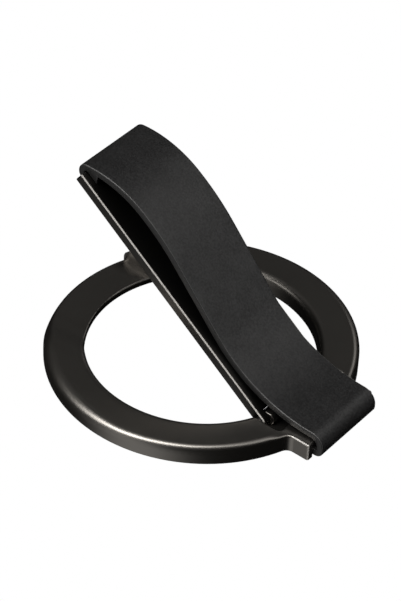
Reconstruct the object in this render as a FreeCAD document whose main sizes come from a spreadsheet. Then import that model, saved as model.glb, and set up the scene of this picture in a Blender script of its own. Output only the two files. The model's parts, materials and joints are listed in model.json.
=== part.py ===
import FreeCAD, Part
import Sketcher
import math
import os

from FreeCAD import Placement, Rotation, Vector

# All sizes are millimetres or degrees. The origin is the ring's axis on the pad's lower face,
# X runs towards the lug, Y along the hinge pin and Z up from the phone.

SIZES = [
    ("ring_dia", 58.0, "outside diameter of the ring"),
    ("ring_width", 7.5, "width of the ring's band"),
    ("ring_height", 3.7, "top of the ring above the phone"),
    ("rim_round", 2.0, "rounding of the ring's outer top edge"),
    ("bore_round", 1.6, "rounding of the ring's inner top edge"),
    ("lug_width", 19.0, "width of the lug"),
    ("lug_out", 2.9, "lug's end face beyond the rim"),
    ("lug_round", 0.4, "rounding of the lug's top edges"),
    ("lug_corner", 0.4, "plan rounding of the lug's end corners"),
    ("root_round", 1.7, "plan rounding where the lug leaves the rim"),
    ("chin_round", 0.3, "rounding of the lug's end below the strap"),
    ("pad_proud", 0.15, "pad's stand-out below the housing"),
    ("pad_thick", 0.6, "thickness of the pad"),
    ("pad_bore", 0.8, "pad's inner edge from the bore"),
    ("pad_rim", 1.4, "pad's outer edge from the rim"),
    ("glue_thick", 0.1, "thickness of the adhesive film"),
    ("seat_gap", 0.05, "clearance round seated pieces"),
    ("magnet_bore", 1.4, "magnets' inner edge from the bore"),
    ("magnet_rim", 1.9, "magnets' outer edge from the rim"),
    ("magnet_thick", 1.4, "thickness of the magnets"),
    ("magnet_count", 7, "magnets in each arc"),
    ("split_angle", 0.3, "angle between two magnets"),
    ("yoke_thick", 0.5, "thickness of the steel yokes"),
    ("start_angle", 46.0, "angle where a magnet arc begins"),
    ("arc_angle", 94.0, "angle that a magnet arc covers"),
    ("recess_floor", 1.35, "floor of the arm's recess above the phone"),
    ("recess_gap", 0.3, "gap at each side of the arm"),
    ("wall_gap", 0.7, "gap between the folded arm and the recess's back wall"),
    ("floor_round", 0.9, "rounding of the recess floor at the rim"),
    ("wall_round", 0.25, "rounding of the recess edges"),
    ("ramp_length", 10.0, "length of the finger ramp beside the recess"),
    ("pocket_corner", 0.8, "plan rounding of the hinge pocket's corners"),
    ("pocket_round", 0.5, "rounding of the hinge pocket's top edges"),
    ("arm_width", 18.8, "width of the arm"),
    ("arm_thick", 2.1, "thickness of the arm"),
    ("arm_length", 54.0, "hinge axis to the arm's free end"),
    ("arm_edge", 0.22, "rounding of the arm's edges"),
    ("arm_angle", 37.2, "lift of the arm at rest"),
    ("fold_gap", 0.25, "gap under the folded arm"),
    ("hinge_in", 0.6, "hinge axis inside the bore's radius"),
    ("hinge_gap", 3.65, "hinge pocket behind the arm's hinge end"),
    ("knuckle_width", 1.5, "width of each knuckle of the arm"),
    ("barrel_radius", 1.2, "radius of the ring's hinge barrel"),
    ("barrel_reach", 0.7, "length of the barrel's flat from the hinge axis"),
    ("barrel_round", 0.15, "rounding of the barrel's ends"),
    ("web_inset", 2.5, "web under the barrel, back from the barrel's ends"),
    ("barrel_gap", 0.15, "gap between the barrel and the arm"),
    ("pin_dia", 1.0, "diameter of the hinge pin"),
    ("pin_gap", 0.03, "radial clearance of the pin in a bush"),
    ("pin_short", 0.2, "pin's end from the end of its bush"),
    ("bush_wall", 0.3, "wall thickness of a bush"),
    ("bush_length", 2.8, "length of a bush"),
    ("washer_thick", 0.2, "thickness of a friction washer"),
    ("washer_radius", 0.9, "outer radius of a friction washer"),
    ("strap_width", 16.0, "width of the strap"),
    ("strap_thick", 1.4, "thickness of the strap"),
    ("strap_gap", 0.15, "strap's least gap over the arm"),
    ("strap_side", 0.2, "gap at each side of a tucked strap end"),
    ("lug_gap", 0.35, "gap between the lug's top and the strap"),
    ("nose_gap", 0.5, "gap between the lug's end and the strap"),
    ("nose_round", 1.4, "inner radius of the strap's bend over the lug"),
    ("lift_angle", 11.7, "strap's steepest slope over that of the arm"),
    ("crest_angle", 3.4, "strap's slope under that of the arm where its crest begins"),
    ("crest_radius", 20.7, "outer radius of the strap's crest"),
    ("dip_angle", 41.1, "strap's slope under that of the arm at its end"),
    ("lug_seat", 1.9, "roof of the strap's seat under the lug"),
    ("lug_tail", 3.0, "strap's tucked length under the lug"),
    ("tail_gap", 0.2, "gap past the strap's tucked ends"),
    ("clamp_length", 2.3, "clamp plate along X"),
    ("clamp_inset", 0.2, "clamp plate's edge inside the strap's edge"),
    ("screw_radius", 0.6, "shank radius of the clamp screws"),
    ("screw_head", 1.0, "head radius of the clamp screws"),
    ("screw_sink", 0.2, "head height of the clamp screws"),
    ("screw_grip", 1.1, "screw length in the lug"),
    ("screw_y", 5.0, "screws from the middle plane"),
    ("tongue_thick", 1.0, "arm's thickness over the tucked strap"),
    ("tongue_back", 0.4, "strap's turn behind the arm's free end"),
    ("tongue_gap", 0.1, "tongue's end behind the strap's turn"),
    ("arm_tail", 3.2, "strap's tucked length under the arm"),
    ("rivet_radius", 0.6, "radius of the arm rivets"),
    ("rivet_back", 2.0, "rivets behind the arm's free end"),
    ("rivet_y", 5.0, "rivets from the middle plane"),
    ("foot_length", 1.8, "strap's filled corner on the arm"),
    ("foot_gap", 0.02, "gap under that corner"),
    ("over_cut", 1.0, "how far cutting tools pass the metal"),
]

DERIVED = [
    ("bore_dia", "=ring_dia - 2 * ring_width", "inside diameter of the ring"),
    ("lug_reach", "=ring_dia / 2 + lug_out", "lug's end face from the ring's axis"),
    ("pad_inner", "=bore_dia / 2 + pad_bore", "inner radius of the pad"),
    ("pad_outer", "=ring_dia / 2 - pad_rim", "outer radius of the pad"),
    ("magnet_inner", "=bore_dia / 2 + magnet_bore", "inner radius of the magnets"),
    ("magnet_outer", "=ring_dia / 2 - magnet_rim", "outer radius of the magnets"),
    ("hinge_x", "=bore_dia / 2 - hinge_in", "hinge axis from the ring's axis"),
    ("seat_top", "=pad_thick + glue_thick", "roof of the pad's rebate"),
    ("yoke_base", "=seat_top + magnet_thick", "lower face of the yokes"),
    ("hinge_z", "=recess_floor + fold_gap + arm_thick / 2", "height of the hinge axis"),
    ("ear_y", "=arm_width / 2 + recess_gap", "recess and pocket walls from the middle plane"),
    ("wall_y", "=arm_width / 2 + wall_gap", "recess's back wall from the middle plane"),
    ("pocket_end", "=hinge_x + arm_thick / 2 + hinge_gap", "far wall of the hinge pocket"),
    ("fork_y", "=arm_width / 2 - knuckle_width", "inner sides of the arm's knuckles"),
    ("barrel_y", "=fork_y - barrel_gap", "ends of the barrel from the middle plane"),
    ("pin_radius", "=pin_dia / 2", "radius of the pin"),
    ("bush_bore", "=pin_radius + pin_gap", "bore radius of a bush"),
    ("bush_radius", "=bush_bore + bush_wall", "outer radius of a bush"),
    ("bush_end", "=ear_y + bush_length", "far end of a bush"),
    ("tuck_y", "=strap_width / 2 + strap_side", "sides of the strap's seats"),
    ("tail_x", "=lug_reach - lug_tail", "strap's end under the lug"),
    ("screw_x", "=tail_x + clamp_length / 2", "screws from the ring's axis"),
    ("nose_wrap", "=strap_thick + nose_round", "strap's outer radius over the lug's end"),
    ("chin_wrap", "=strap_thick + chin_round - seat_gap", "strap's outer radius under the lug's end"),
    ("clamp_top", "=lug_seat - strap_thick", "upper face of the clamp plate"),
    ("turn_x", "=tongue_back - arm_length", "strap's turn in the arm's own frame"),
    ("turn_z", "=arm_thick / 2 - tongue_thick / 2", "strap's turn in the arm's own frame"),
    ("turn_radius", "=strap_thick + tongue_thick / 2", "outer radius of the strap's turn"),
    ("rivet_x", "=rivet_back - arm_length", "rivets in the arm's own frame"),
]

doc = FreeCAD.newDocument("magnetic_phone_stand")
sheet = doc.addObject("Spreadsheet::Sheet", "dims")
for row, (alias, size, note) in enumerate(SIZES + DERIVED, start=1):
    sheet.set("A%d" % row, note)
    sheet.set("B%d" % row, str(size))
    sheet.setAlias("B%d" % row, alias)
doc.recompute()


def read(alias):
    """Plain number of one cell."""
    return float(sheet.get(alias))


def bind(item, rules):
    """Tie properties to the sheet."""
    for path, rule in rules.items():
        item.setExpression(path, rule)


def box(name, x_from, x_to, y_from, y_to, z_from, z_to):
    """Block between two limits on each axis."""
    item = doc.addObject("Part::Box", name)
    bind(item, {
        "Length": "(%s) - (%s)" % (x_to, x_from),
        "Width": "(%s) - (%s)" % (y_to, y_from),
        "Height": "(%s) - (%s)" % (z_to, z_from),
        "Placement.Base.x": x_from,
        "Placement.Base.y": y_from,
        "Placement.Base.z": z_from,
    })
    return item


def post(name, radius, z_from, z_to, x="0", y="0"):
    """Cylinder along Z."""
    item = doc.addObject("Part::Cylinder", name)
    bind(item, {
        "Radius": radius,
        "Height": "(%s) - (%s)" % (z_to, z_from),
        "Placement.Base.x": x,
        "Placement.Base.y": y,
        "Placement.Base.z": z_from,
    })
    return item


def rod(name, radius, y_from, y_to):
    """Cylinder along Y on the hinge axis."""
    item = doc.addObject("Part::Cylinder", name)
    item.Placement = Placement(Vector(), Rotation(Vector(1, 0, 0), -90))
    bind(item, {
        "Radius": radius,
        "Height": "(%s) - (%s)" % (y_to, y_from),
        "Placement.Base.x": "dims.hinge_x",
        "Placement.Base.y": y_from,
        "Placement.Base.z": "dims.hinge_z",
    })
    return item


def wedge(name, radius, z_from, z_to, start):
    """Sector of a disc over one magnet arc."""
    item = post(name, radius, z_from, z_to)
    item.Placement = Placement(Vector(), Rotation(Vector(0, 0, 1), 1))
    bind(item, {
        "Angle": "dims.arc_angle",
        "Placement.Rotation.Angle": start,
    })
    return item


def join(name, items):
    """Union of several pieces."""
    item = doc.addObject("Part::MultiFuse", name)
    item.Shapes = items
    return item


def cut(name, base, tool):
    """First piece less the second."""
    item = doc.addObject("Part::Cut", name)
    item.Base = base
    item.Tool = tool
    return item


def group(name, items):
    """Loose pieces of one kind kept as one sub-part."""
    item = doc.addObject("Part::Compound", name)
    item.Links = items
    return item


def tube(name, outer, inner, z_from, z_to):
    """Flat ring about Z."""
    return cut(name, post(name + "_disc", outer, z_from, z_to), post(name + "_hole", inner, z_from, z_to))


def sleeve(name, outer, inner, y_from, y_to):
    """Round sleeve on the hinge axis."""
    return cut(name, rod(name + "_rod", outer, y_from, y_to), rod(name + "_bore", inner, y_from, y_to))


def band(name, outer, inner, z_from, z_to, start):
    """Arc-shaped block over one magnet arc."""
    whole = wedge(name + "_sector", outer, z_from, z_to, start)
    return cut(name, whole, wedge(name + "_core", inner, z_from, z_to, start))


def body_of(name):
    """New PartDesign body."""
    return doc.addObject("PartDesign::Body", name)


def sketch_on(body, role, name):
    """New sketch on one of a body's own planes."""
    sketch = body.newObject("Sketcher::SketchObject", name)
    plane = [item for item in body.Origin.OriginFeatures if item.Role == role][0]
    sketch.AttachmentSupport = [(plane, "")]
    sketch.MapMode = "FlatFace"
    return sketch


def swell(body, sketch, name, rule, both_ways):
    """Pad of a sketch."""
    pad = body.newObject("PartDesign::Pad", name)
    pad.Profile = sketch
    pad.Midplane = both_ways
    bind(pad, {"Length": rule})
    sketch.Visibility = False
    return pad


def pocket_across(body, sketch, name, rule):
    """Pocket of a sketch to both sides of its plane."""
    pocket = body.newObject("PartDesign::Pocket", name)
    pocket.Profile = sketch
    pocket.Midplane = True
    bind(pocket, {"Length": rule})
    return pocket


def limit(sketch, kind, item, end, rule):
    """Distance of one sketch point from the sketch's origin."""
    point = sketch.getPoint(item, end)
    size = point.x if kind == "DistanceX" else point.y
    number = sketch.addConstraint(Sketcher.Constraint(kind, -1, 1, item, end, size))
    sketch.setExpression("Constraints[%d]" % number, rule)


def measure(sketch, kind, item, size, rule):
    """Radius of one sketch curve."""
    number = sketch.addConstraint(Sketcher.Constraint(kind, item, size))
    sketch.setExpression("Constraints[%d]" % number, rule)


def rectangle(sketch, left, right, low, high, rules):
    """Rectangle held by four limits."""
    corners = [Vector(left, low), Vector(right, low), Vector(right, high), Vector(left, high)]
    for number in range(4):
        sketch.addGeometry(Part.LineSegment(corners[number], corners[(number + 1) % 4]))
    for number in range(4):
        sketch.addConstraint(Sketcher.Constraint("Coincident", number, 2, (number + 1) % 4, 1))
        sketch.addConstraint(Sketcher.Constraint("Vertical" if number % 2 else "Horizontal", number))
    limit(sketch, "DistanceX", 0, 1, rules[0])
    limit(sketch, "DistanceX", 1, 1, rules[1])
    limit(sketch, "DistanceY", 0, 1, rules[2])
    limit(sketch, "DistanceY", 2, 1, rules[3])


def edge_numbers(shape, test):
    """Numbers of the edges that pass a test."""
    return [number for number, edge in enumerate(shape.Edges, start=1) if test(edge)]


def close(first, second):
    """Equal for the purpose of picking edges."""
    return abs(first - second) < 1e-4


def radius_of(edge):
    """Radius of a round edge, nought for others."""
    return edge.Curve.Radius if hasattr(edge.Curve, "Radius") else 0.0


# Ring housing: plan outline of rim and lug

def outline_ring(sketch):
    """Rim, lug with rounded roots and corners, and the bore."""
    radius = read("ring_dia") / 2
    half = read("lug_width") / 2
    reach = read("lug_reach")
    root = read("root_round")
    corner = read("lug_corner")
    root_x = math.sqrt((radius + root) ** 2 - (half + root) ** 2)
    lean = math.atan2(half + root, root_x)
    turn = math.pi

    def arc(x, y, size, start, end):
        circle = Part.Circle(Vector(x, y), Vector(0, 0, 1), size)
        return sketch.addGeometry(Part.ArcOfCircle(circle, start, end))

    def line(x_from, y_from, x_to, y_to):
        return sketch.addGeometry(Part.LineSegment(Vector(x_from, y_from), Vector(x_to, y_to)))

    rim = arc(0, 0, radius, lean, 2 * turn - lean)
    root_back = arc(root_x, half + root, root, turn + lean, 1.5 * turn)
    side_back = line(root_x, half, reach - corner, half)
    corner_back = arc(reach - corner, half - corner, corner, 0, turn / 2)
    end = line(reach, half - corner, reach, corner - half)
    corner_front = arc(reach - corner, corner - half, corner, 1.5 * turn, 2 * turn)
    side_front = line(reach - corner, -half, root_x, -half)
    root_front = arc(root_x, -half - root, root, turn / 2, turn - lean)
    bore = sketch.addGeometry(Part.Circle(Vector(), Vector(0, 0, 1), read("bore_dia") / 2))

    smooth = [
        (root_back, 1, rim, 1),
        (root_back, 2, side_back, 1),
        (side_back, 2, corner_back, 2),
        (corner_back, 1, end, 1),
        (end, 2, corner_front, 2),
        (corner_front, 1, side_front, 1),
        (side_front, 2, root_front, 1),
        (root_front, 2, rim, 2),
    ]
    for pair in smooth:
        sketch.addConstraint(Sketcher.Constraint("Tangent", *pair))
    for item in (rim, bore):
        sketch.addConstraint(Sketcher.Constraint("Coincident", item, 3, -1, 1))
    for item in (side_back, side_front):
        sketch.addConstraint(Sketcher.Constraint("Horizontal", item))
    sketch.addConstraint(Sketcher.Constraint("Vertical", end))
    measure(sketch, "Radius", rim, radius, "dims.ring_dia / 2")
    measure(sketch, "Radius", bore, read("bore_dia") / 2, "dims.bore_dia / 2")
    for item in (root_back, root_front):
        measure(sketch, "Radius", item, root, "dims.root_round")
    for item in (corner_back, corner_front):
        measure(sketch, "Radius", item, corner, "dims.lug_corner")
    limit(sketch, "DistanceY", side_back, 1, "dims.lug_width / 2")
    limit(sketch, "DistanceY", side_front, 1, "-dims.lug_width / 2")
    limit(sketch, "DistanceX", end, 1, "dims.lug_reach")


ring_blank = body_of("ring_blank")
ring_plan = sketch_on(ring_blank, "XY_Plane", "ring_plan")
outline_ring(ring_plan)
bind(ring_plan, {"AttachmentOffset.Base.z": "dims.pad_proud"})
swell(ring_blank, ring_plan, "ring_pad", "dims.ring_height - dims.pad_proud", False)
doc.recompute()


def outline_recess(sketch):
    """Section of the recess: floor, back wall, and a ramp of two equal tangent arcs in front."""
    ear = read("ear_y")
    back = read("wall_y")
    low = read("recess_floor")
    top = read("ring_height")
    rise = top - low
    length = read("ramp_length")
    bend = (length ** 2 + rise ** 2) / (4 * rise)
    sweep = math.asin(length / 2 / bend)
    sky = top + read("over_cut")
    turn = math.pi

    def arc(y, z, start, end):
        circle = Part.Circle(Vector(y, z), Vector(0, 0, 1), bend)
        return sketch.addGeometry(Part.ArcOfCircle(circle, start, end))

    def line(y_from, z_from, y_to, z_to):
        return sketch.addGeometry(Part.LineSegment(Vector(y_from, z_from), Vector(y_to, z_to)))

    floor = line(back, low, -ear, low)
    foot = arc(-ear, low + bend, 1.5 * turn - sweep, 1.5 * turn)
    brow = arc(-ear - length, top - bend, turn / 2 - sweep, turn / 2)
    front = line(-ear - length, top, -ear - length, sky)
    roof = line(-ear - length, sky, back, sky)
    wall = line(back, sky, back, low)
    for pair in ((floor, 2, foot, 2), (foot, 1, brow, 1)):
        sketch.addConstraint(Sketcher.Constraint("Tangent", *pair))
    for pair in ((brow, 2, front, 1), (front, 2, roof, 1), (roof, 2, wall, 1), (wall, 2, floor, 1)):
        sketch.addConstraint(Sketcher.Constraint("Coincident", *pair))
    for item in (floor, roof):
        sketch.addConstraint(Sketcher.Constraint("Horizontal", item))
    for item in (front, wall):
        sketch.addConstraint(Sketcher.Constraint("Vertical", item))
    sketch.addConstraint(Sketcher.Constraint("Equal", foot, brow))
    limit(sketch, "DistanceX", floor, 1, "dims.wall_y")
    limit(sketch, "DistanceX", floor, 2, "-dims.ear_y")
    limit(sketch, "DistanceY", floor, 1, "dims.recess_floor")
    limit(sketch, "DistanceX", brow, 2, "-dims.ear_y - dims.ramp_length")
    limit(sketch, "DistanceY", brow, 2, "dims.ring_height")
    limit(sketch, "DistanceY", roof, 1, "dims.ring_height + dims.over_cut")


recess = body_of("recess")
recess_section = sketch_on(recess, "YZ_Plane", "recess_section")
outline_recess(recess_section)
recess_pad = swell(recess, recess_section, "recess_pad", "dims.ring_dia", False)
recess_pad.Reversed = True
ring_step = cut("ring_step", ring_blank, recess)
doc.recompute()


def round_at(point, low, high):
    """Rounding that grows with height from the recess floor to the ring's top."""
    share = (point.z - read("recess_floor")) / (read("ring_height") - read("recess_floor"))
    return read(low) + (read(high) - read(low)) * share


def top_rounds(shape):
    """Fillet sizes of the top outline: wide on the rim, running down to narrow on floor and lug."""
    narrow = read("lug_round")
    rounds = []
    for number, edge in enumerate(shape.Edges, start=1):
        first, last = edge.Vertexes[0].Point, edge.Vertexes[-1].Point
        middle = edge.valueAt((edge.FirstParameter + edge.LastParameter) / 2)
        reach = math.hypot(middle.x, middle.y)
        upright = math.hypot(first.x - last.x, first.y - last.y) < 1e-4 and not close(first.z, last.z)
        if upright or middle.z < read("recess_floor") - 1e-4:
            continue
        if close(reach, read("ring_dia") / 2):
            rounds.append((number, round_at(first, "floor_round", "rim_round"),
                           round_at(last, "floor_round", "rim_round")))
        elif close(reach, read("bore_dia") / 2):
            rounds.append((number, round_at(first, "wall_round", "bore_round"),
                           round_at(last, "wall_round", "bore_round")))
        elif close(radius_of(edge), read("root_round")) and abs(edge.Curve.Center.y) > read("lug_width") / 2:
            wide_first = abs(first.y) > abs(last.y)
            wide = read("rim_round")
            rounds.append((number, wide, narrow) if wide_first else (number, narrow, wide))
        elif middle.x > read("hinge_x"):
            rounds.append((number, narrow, narrow))
    return rounds


def outline_ease(sketch):
    """Section of the cut that rounds the top edge of the recess's back wall."""
    back = read("wall_y")
    top = read("ring_height")
    size = read("wall_round")
    sky = top + read("over_cut")
    edge = back + size
    corners = [Vector(edge, top), Vector(edge, sky), Vector(back, sky), Vector(back, top - size)]
    circle = Part.Circle(Vector(edge, top - size), Vector(0, 0, 1), size)
    arc = sketch.addGeometry(Part.ArcOfCircle(circle, math.pi / 2, math.pi))
    lines = [sketch.addGeometry(Part.LineSegment(*corners[number:number + 2])) for number in range(3)]
    for pair in ((arc, 1, lines[0], 1), (lines[0], 2, lines[1], 1), (lines[1], 2, lines[2], 1)):
        sketch.addConstraint(Sketcher.Constraint("Coincident", *pair))
    sketch.addConstraint(Sketcher.Constraint("Tangent", lines[2], 2, arc, 2))
    sketch.addConstraint(Sketcher.Constraint("Vertical", lines[0]))
    sketch.addConstraint(Sketcher.Constraint("Horizontal", lines[1]))
    sketch.addConstraint(Sketcher.Constraint("Vertical", lines[2]))
    limit(sketch, "DistanceX", lines[2], 2, "dims.wall_y")
    limit(sketch, "DistanceX", lines[0], 1, "dims.wall_y + dims.wall_round")
    limit(sketch, "DistanceY", lines[0], 1, "dims.ring_height")
    limit(sketch, "DistanceY", lines[1], 1, "dims.ring_height + dims.over_cut")
    measure(sketch, "Radius", arc, size, "dims.wall_round")


wall_ease = body_of("wall_ease")
ease_section = sketch_on(wall_ease, "YZ_Plane", "ease_section")
outline_ease(ease_section)
ease_pad = swell(wall_ease, ease_section, "ease_pad", "dims.ring_dia", False)
ease_pad.Reversed = True

ring_rounded = doc.addObject("Part::Fillet", "ring_rounded")
ring_rounded.Base = ring_step
ring_rounded.Edges = top_rounds(ring_step.Shape)
doc.recompute()

# Ring housing: hinge barrel, hinge pocket, seats and channels

pocket_blank = box("pocket_blank", "dims.bore_dia / 4", "dims.pocket_end", "-dims.ear_y", "dims.ear_y",
                   "dims.recess_floor", "dims.ring_height + dims.over_cut")
doc.recompute()


def at_pocket_corner(edge):
    """Upright edges at the pocket's far wall."""
    at_wall = all(close(vertex.X, read("pocket_end")) for vertex in edge.Vertexes)
    return at_wall and edge.Length < read("ear_y")


pocket = doc.addObject("Part::Fillet", "pocket")
pocket.Base = pocket_blank
pocket.Edges = [(number, read("pocket_corner"), read("pocket_corner"))
                for number in edge_numbers(pocket_blank.Shape, at_pocket_corner)]
rebate = tube("rebate", "dims.pad_outer + dims.seat_gap", "dims.pad_inner - dims.seat_gap",
              "0", "dims.seat_top")
strap_seat = box("strap_seat", "dims.tail_x - dims.tail_gap", "dims.lug_reach + dims.over_cut",
                 "-dims.tuck_y", "dims.tuck_y", "0", "dims.lug_seat")
hollows = [wall_ease, pocket, rebate, strap_seat]

SIDES = {"front": ("180 + dims.start_angle", -1), "back": ("dims.start_angle", 1)}


def span(sign, near, far):
    """Two limits along Y, in rising order, on one side of the middle plane."""
    return (near, far) if sign > 0 else ("-(%s)" % far, "-(%s)" % near)


for side, (start, sign) in SIDES.items():
    ear = span(sign, "dims.ear_y", "dims.bush_end")
    hollows.append(band("channel_" + side, "dims.magnet_outer + dims.seat_gap",
                        "dims.magnet_inner - dims.seat_gap", "dims.pad_thick",
                        "dims.yoke_base + dims.yoke_thick + dims.seat_gap", start))
    hollows.append(box("slot_" + side, "dims.hinge_x - dims.bush_radius", "dims.hinge_x + dims.bush_radius",
                       ear[0], ear[1], "dims.pad_thick", "dims.hinge_z"))
    hollows.append(rod("socket_" + side, "dims.bush_radius", ear[0], ear[1]))
    hollows.append(post("screw_hole_" + side, "dims.screw_radius", "dims.pad_thick",
                        "dims.lug_seat + dims.screw_grip", "dims.screw_x", "%d * dims.screw_y" % sign))

ring_cut = cut("ring_cut", ring_rounded, join("hollows", hollows))
doc.recompute()


def wall_rounds(shape):
    """Fillet sizes of the pocket's top edges and of the lug's end under the strap."""
    rounds = []
    top = read("ring_height")
    for number, edge in enumerate(shape.Edges, start=1):
        middle = edge.valueAt((edge.FirstParameter + edge.LastParameter) / 2)
        heights = [vertex.Z for vertex in edge.Vertexes]
        on_ear = close(abs(middle.y), read("ear_y")) and min(heights) > top - read("bore_round") - 1e-4
        inside = abs(middle.y) < read("ear_y") + 1e-4 and middle.x < read("pocket_end") + 1e-4
        if middle.x > 0 and close(max(heights), top) and (on_ear or (inside and close(middle.z, top))):
            rounds.append((number, read("pocket_round"), read("pocket_round")))
        elif close(middle.x, read("lug_reach")) and close(middle.z, read("lug_seat")):
            rounds.append((number, read("chin_round"), read("chin_round")))
    return rounds


ring_shell = doc.addObject("Part::Fillet", "ring_shell")
ring_shell.Base = ring_cut
ring_shell.Edges = wall_rounds(ring_cut.Shape)


def outline_barrel(sketch):
    """Oblong round the hinge axis."""
    x, z = read("hinge_x"), read("hinge_z")
    far = x + read("barrel_reach")
    size = read("barrel_radius")
    turn = math.pi

    def arc(centre, start, end):
        circle = Part.Circle(Vector(centre, z), Vector(0, 0, 1), size)
        return sketch.addGeometry(Part.ArcOfCircle(circle, start, end))

    left = arc(x, turn / 2, 1.5 * turn)
    right = arc(far, -turn / 2, turn / 2)
    under = sketch.addGeometry(Part.LineSegment(Vector(x, z - size), Vector(far, z - size)))
    over = sketch.addGeometry(Part.LineSegment(Vector(far, z + size), Vector(x, z + size)))
    for pair in ((left, 2, under, 1), (under, 2, right, 1), (right, 2, over, 1), (over, 2, left, 1)):
        sketch.addConstraint(Sketcher.Constraint("Tangent", *pair))
    sketch.addConstraint(Sketcher.Constraint("Horizontal", under))
    measure(sketch, "Radius", left, size, "dims.barrel_radius")
    limit(sketch, "DistanceX", left, 3, "dims.hinge_x")
    limit(sketch, "DistanceY", left, 3, "dims.hinge_z")
    limit(sketch, "DistanceX", right, 3, "dims.hinge_x + dims.barrel_reach")


barrel_blank = body_of("barrel_blank")
barrel_section = sketch_on(barrel_blank, "XZ_Plane", "barrel_section")
outline_barrel(barrel_section)
swell(barrel_blank, barrel_section, "barrel_pad", "2 * dims.barrel_y", True)
doc.recompute()


def on_barrel_end(edge):
    """Edges round the barrel's two ends."""
    at_end = all(close(abs(vertex.Y), read("barrel_y")) for vertex in edge.Vertexes)
    return at_end and edge.Length < read("barrel_y")


barrel = doc.addObject("Part::Fillet", "barrel")
barrel.Base = barrel_blank
barrel.Edges = [(number, read("barrel_round"), read("barrel_round"))
                for number in edge_numbers(barrel_blank.Shape, on_barrel_end)]
web = box("web", "dims.hinge_x", "dims.hinge_x + dims.barrel_reach", "dims.web_inset - dims.barrel_y",
          "dims.barrel_y - dims.web_inset", "dims.recess_floor - dims.seat_gap", "dims.hinge_z")
barrel_bore = rod("barrel_bore", "dims.pin_radius + dims.seat_gap", "-dims.barrel_y", "dims.barrel_y")
ring_housing = cut("ring_housing", join("ring_whole", [ring_shell, barrel, web]), barrel_bore)

# Pad, film, magnets and yokes

base_pad = tube("base_pad", "dims.pad_outer", "dims.pad_inner", "0", "dims.pad_thick")
pad_adhesive = tube("pad_adhesive", "dims.pad_outer", "dims.pad_inner", "dims.pad_thick", "dims.seat_top")


def magnet_arc(name, start):
    """Row of separate magnets that share one arc evenly."""
    count = int(read("magnet_count"))
    pitch = read("arc_angle") / count
    low = Vector(0, 0, read("seat_top"))
    magnets = []
    for number in range(count):
        turn = start + number * pitch + read("split_angle") / 2
        size = pitch - read("split_angle")
        rings = [Part.makeCylinder(read(radius), read("magnet_thick"), low, Vector(0, 0, 1), size)
                 for radius in ("magnet_outer", "magnet_inner")]
        magnet = rings[0].cut(rings[1])
        magnet.rotate(Vector(), Vector(0, 0, 1), turn)
        magnets.append(magnet)
    item = doc.addObject("Part::Feature", name)
    item.Shape = Part.makeCompound(magnets)
    return item


magnets_front = magnet_arc("magnets_front", read("start_angle") + 180)
magnets_back = magnet_arc("magnets_back", read("start_angle"))
pieces = [ring_housing, base_pad, pad_adhesive, magnets_front, magnets_back]
for side, (start, sign) in SIDES.items():
    pieces.append(band("yoke_" + side, "dims.magnet_outer", "dims.magnet_inner", "dims.yoke_base",
                       "dims.yoke_base + dims.yoke_thick", start))

# Hinge: pin, bushes, keepers and washers

pieces.append(rod("hinge_pin", "dims.pin_radius", "dims.pin_short - dims.bush_end",
                  "dims.bush_end - dims.pin_short"))
for side, (start, sign) in SIDES.items():
    ear = span(sign, "dims.ear_y", "dims.bush_end")
    gap = span(sign, "dims.ear_y - dims.recess_gap / 2 - dims.washer_thick / 2",
               "dims.ear_y - dims.recess_gap / 2 + dims.washer_thick / 2")
    pieces.append(sleeve("bush_" + side, "dims.bush_radius", "dims.bush_bore", ear[0], ear[1]))
    pieces.append(box("keeper_" + side, "dims.hinge_x - dims.bush_radius", "dims.hinge_x + dims.bush_radius",
                      ear[0], ear[1], "dims.seat_top", "dims.hinge_z - dims.bush_radius"))
    pieces.append(sleeve("washer_" + side, "dims.washer_radius", "dims.bush_bore", gap[0], gap[1]))

# Arm, drawn in its own frame with the hinge axis as its origin

arm_plate = body_of("arm_plate")


def outline_arm(sketch):
    """Side view of the plate: round at the hinge, with the pin's bore."""
    half = read("arm_thick") / 2
    length = read("arm_length")
    upper = sketch.addGeometry(Part.LineSegment(Vector(0, half), Vector(-length, half)))
    end = sketch.addGeometry(Part.LineSegment(Vector(-length, half), Vector(-length, -half)))
    lower = sketch.addGeometry(Part.LineSegment(Vector(-length, -half), Vector(0, -half)))
    circle = Part.Circle(Vector(), Vector(0, 0, 1), half)
    knuckle = sketch.addGeometry(Part.ArcOfCircle(circle, -math.pi / 2, math.pi / 2))
    bore = sketch.addGeometry(Part.Circle(Vector(), Vector(0, 0, 1), read("pin_radius")))
    for pair in ((upper, 2, end, 1), (end, 2, lower, 1)):
        sketch.addConstraint(Sketcher.Constraint("Coincident", *pair))
    for pair in ((lower, 2, knuckle, 1), (knuckle, 2, upper, 1)):
        sketch.addConstraint(Sketcher.Constraint("Tangent", *pair))
    for item in (knuckle, bore):
        sketch.addConstraint(Sketcher.Constraint("Coincident", item, 3, -1, 1))
    sketch.addConstraint(Sketcher.Constraint("Horizontal", upper))
    sketch.addConstraint(Sketcher.Constraint("Vertical", end))
    sketch.addConstraint(Sketcher.Constraint("Horizontal", lower))
    measure(sketch, "Radius", knuckle, half, "dims.arm_thick / 2")
    measure(sketch, "Radius", bore, read("pin_radius"), "dims.pin_radius")
    limit(sketch, "DistanceX", end, 1, "-dims.arm_length")


arm_side = sketch_on(arm_plate, "XZ_Plane", "arm_side")
outline_arm(arm_side)
arm_pad = swell(arm_plate, arm_side, "arm_pad", "dims.arm_width", True)
doc.recompute()


def on_arm_side(edge):
    """Edges of the plate's two side faces, the bore left out."""
    flank = all(close(abs(vertex.Y), read("arm_width") / 2) for vertex in edge.Vertexes)
    return flank and not close(radius_of(edge), read("pin_radius"))


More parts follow.
